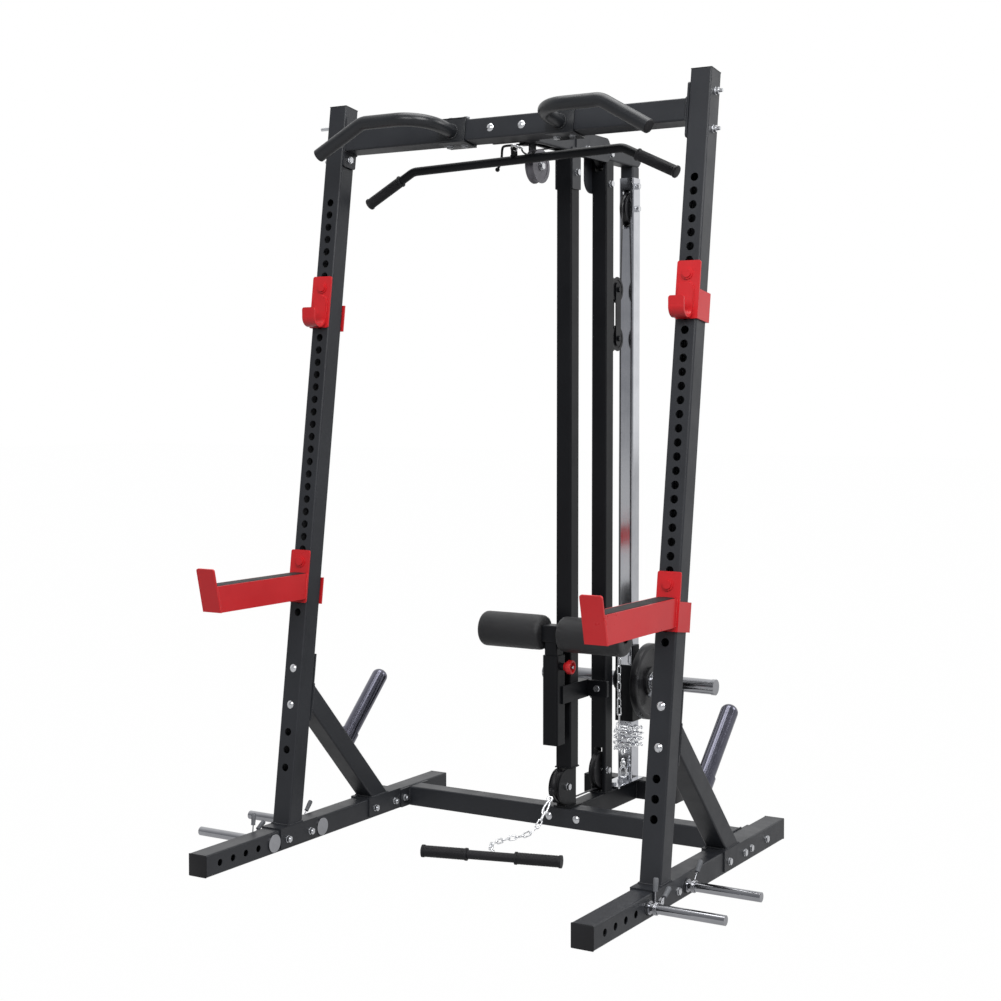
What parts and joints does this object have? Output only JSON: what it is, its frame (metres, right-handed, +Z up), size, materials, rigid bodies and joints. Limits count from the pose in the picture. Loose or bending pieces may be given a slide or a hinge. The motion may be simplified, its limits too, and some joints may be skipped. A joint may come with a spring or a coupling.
{
  "type": "half rack with cable tower",
  "caption": "Half rack with leaning drilled uprights, hooks and spotter arms, storage pins and horns, and a plate-loaded cable tower with pull-down and low row.",
  "frame": {"origin": "on the floor under the middle of the lower crossbeam", "axes": "+X to the right across the rack, +Y to the rear toward the cable tower, +Z up"},
  "size_m": [1.624, 1.499, 2.1193],
  "materials": {
    "frame": "charcoal powder coat, satin",
    "black": "black powder coat, satin",
    "grip_paint": "dark grey powder coat",
    "chrome": "polished chrome plate",
    "dark_chrome": "satin chrome plate",
    "zinc": "bright zinc plate",
    "red": "bright red powder coat",
    "plastic": "black moulded plastic",
    "grey_plastic": "light grey moulded nylon",
    "cable": "black nylon-coated steel cable",
    "rubber": "black moulded rubber",
    "foam": "black closed-cell foam"
  },
  "bodies": {
    "frame": {"left_foot": "frame", "right_foot": "frame", "left_upright": "frame", "right_upright": "frame", "left_brace": "frame", "right_brace": "frame", "storage_horns": "dark_chrome", "tube_caps": "plastic", "lower_crossbeam": "frame", "upper_crossbeam": "frame", "left_pullup_grip": "grip_paint", "right_pullup_grip": "grip_paint", "bar_rest": "black", "boom": "frame", "front_column": "black", "rear_column": "black", "tower_base": "black", "guide_post": "chrome", "fixed_cables": "cable", "anchor_chain": "zinc", "storage_pins": "chrome", "leg_sleeve": "black", "low_bar": "rubber", "low_chain": "zinc", "rack_bolts": "zinc", "tower_bolts": "zinc"},
    "carriage": {"carriage_frame": "black", "carriage_horns": "chrome", "weight_plate": "rubber", "carriage_strand": "cable"},
    "left_horn_collar": {"left_horn_collar": "chrome"},
    "right_horn_collar": {"right_horn_collar": "chrome"},
    "pulldown_bar": {"lat_bar": "black", "lat_grips": "rubber", "bar_strand": "cable"},
    "float_block": {"float_block": "black", "block_cables": "cable", "upper_strands": "cable", "lower_strands": "cable"},
    "float_upper_pulley": {"float_upper_pulley": "plastic"},
    "float_lower_pulley": {"float_lower_pulley": "plastic"},
    "front_top_pulley": {"front_top_pulley": "grey_plastic"},
    "rear_top_pulley": {"rear_top_pulley": "plastic"},
    "guide_pulley": {"guide_pulley": "plastic"},
    "low_front_pulley": {"low_front_pulley": "plastic"},
    "low_rear_pulley": {"low_rear_pulley": "plastic"},
    "leg_post": {"leg_post": "black"},
    "left_roller": {"left_roller": "foam"},
    "right_roller": {"right_roller": "foam"},
    "pull_knob": {"pull_knob": "red"},
    "left_front_collar": {"left_front_collar": "chrome"},
    "left_rear_collar": {"left_rear_collar": "chrome"},
    "right_front_collar": {"right_front_collar": "chrome"},
    "right_rear_collar": {"right_rear_collar": "chrome"},
    "left_hook": {"left_hook": "red"},
    "right_hook": {"right_hook": "red"},
    "left_spotter": {"left_spotter": "red", "left_spotter_pad": "rubber"},
    "right_spotter": {"right_spotter": "red", "right_spotter_pad": "rubber"}
  },
  "joints": [
    {"name": "carriage_lift", "type": "slide", "parent": "frame", "child": "carriage", "axis": [0, 0, 1], "range_m": [0, 1.1], "deforming": ["carriage_strand"]},
    {"name": "pulldown", "type": "slide", "parent": "frame", "child": "pulldown_bar", "axis": [0, 0, -1], "range_m": [0, 1.1], "deforming": ["bar_strand"]},
    {"name": "left_horn_collar_slide", "type": "slide", "parent": "carriage", "child": "left_horn_collar", "axis": [-1, 0, 0], "range_m": [0, 0.17]},
    {"name": "right_horn_collar_slide", "type": "slide", "parent": "carriage", "child": "right_horn_collar", "axis": [1, 0, 0], "range_m": [0, 0.18]},
    {"name": "front_top_pulley_spin", "type": "hinge", "parent": "frame", "child": "front_top_pulley", "pos_m": [0, -0.18, 1.9225], "axis": [1, 0, 0], "continuous": true},
    {"name": "rear_top_pulley_spin", "type": "hinge", "parent": "frame", "child": "rear_top_pulley", "pos_m": [0, 0.22, 2.003], "axis": [1, 0, 0], "continuous": true},
    {"name": "guide_pulley_spin", "type": "hinge", "parent": "frame", "child": "guide_pulley", "pos_m": [0, 0.4, 1.855], "axis": [1, 0, 0], "continuous": true},
    {"name": "float_upper_pulley_spin", "type": "hinge", "parent": "float_block", "child": "float_upper_pulley", "pos_m": [0, 0.3, 1.6], "axis": [1, 0, 0], "continuous": true},
    {"name": "block_drop", "type": "slide", "parent": "frame", "child": "float_block", "axis": [0, 0, -1], "range_m": [0, 0.5], "deforming": ["upper_strands", "lower_strands"]},
    {"name": "float_lower_pulley_spin", "type": "hinge", "parent": "float_block", "child": "float_lower_pulley", "pos_m": [0, 0.3, 1.45], "axis": [1, 0, 0], "continuous": true},
    {"name": "low_front_pulley_spin", "type": "hinge", "parent": "frame", "child": "low_front_pulley", "pos_m": [0, -0.031, 0.125], "axis": [1, 0, 0], "continuous": true},
    {"name": "low_rear_pulley_spin", "type": "hinge", "parent": "frame", "child": "low_rear_pulley", "pos_m": [0, 0.208, 0.13], "axis": [1, 0, 0], "continuous": true},
    {"name": "post_lift", "type": "slide", "parent": "frame", "child": "leg_post", "axis": [0, 0, 1], "range_m": [0, 0.1]},
    {"name": "left_roller_spin", "type": "hinge", "parent": "leg_post", "child": "left_roller", "pos_m": [-0.131, -0.081, 0.583], "axis": [1, 0, 0], "continuous": true},
    {"name": "right_roller_spin", "type": "hinge", "parent": "leg_post", "child": "right_roller", "pos_m": [0.131, -0.081, 0.583], "axis": [1, 0, 0], "continuous": true},
    {"name": "knob_pull", "type": "slide", "parent": "frame", "child": "pull_knob", "axis": [1, 0, 0], "range_m": [0, 0.012], "stiffness_N_per_m": 600},
    {"name": "left_front_collar_slide", "type": "slide", "parent": "frame", "child": "left_front_collar", "axis": [-1, 0, 0], "range_m": [0, 0.15]},
    {"name": "left_rear_collar_slide", "type": "slide", "parent": "frame", "child": "left_rear_collar", "axis": [-1, 0, 0], "range_m": [0, 0.15]},
    {"name": "right_front_collar_slide", "type": "slide", "parent": "frame", "child": "right_front_collar", "axis": [1, 0, 0], "range_m": [0, 0.15]},
    {"name": "right_rear_collar_slide", "type": "slide", "parent": "frame", "child": "right_rear_collar", "axis": [1, 0, 0], "range_m": [0, 0.15]},
    {"name": "left_hook_swing", "type": "hinge", "parent": "frame", "child": "left_hook", "pos_m": [-0.578, -0.41602, 1.58443], "axis": [0, 0.9905, -0.1374], "range_deg": [0, 90]},
    {"name": "right_hook_swing", "type": "hinge", "parent": "frame", "child": "right_hook", "pos_m": [0.578, -0.41602, 1.58443], "axis": [0, -0.9905, 0.1374], "range_deg": [0, 90]},
    {"name": "left_spotter_swing", "type": "hinge", "parent": "frame", "child": "left_spotter", "pos_m": [-0.578, -0.52488, 0.79995], "axis": [0, 0.9905, -0.1374], "range_deg": [0, 90]},
    {"name": "right_spotter_swing", "type": "hinge", "parent": "frame", "child": "right_spotter", "pos_m": [0.578, -0.52488, 0.79995], "axis": [0, -0.9905, 0.1374], "range_deg": [0, 90]}
  ],
  "couplings": [
    {"joint": "pulldown", "follows": "carriage_lift", "ratio": 1},
    {"joint": "front_top_pulley_spin", "follows": "carriage_lift", "rad_per_m": 22.321},
    {"joint": "rear_top_pulley_spin", "follows": "carriage_lift", "rad_per_m": 23.81},
    {"joint": "guide_pulley_spin", "follows": "carriage_lift", "rad_per_m": 20},
    {"joint": "float_upper_pulley_spin", "follows": "carriage_lift", "rad_per_m": -26.316},
    {"joint": "float_lower_pulley_spin", "follows": "block_drop", "rad_per_m": 26.316},
    {"joint": "low_front_pulley_spin", "follows": "block_drop", "rad_per_m": -42.553},
    {"joint": "low_rear_pulley_spin", "follows": "block_drop", "rad_per_m": -37.037}
  ]
}
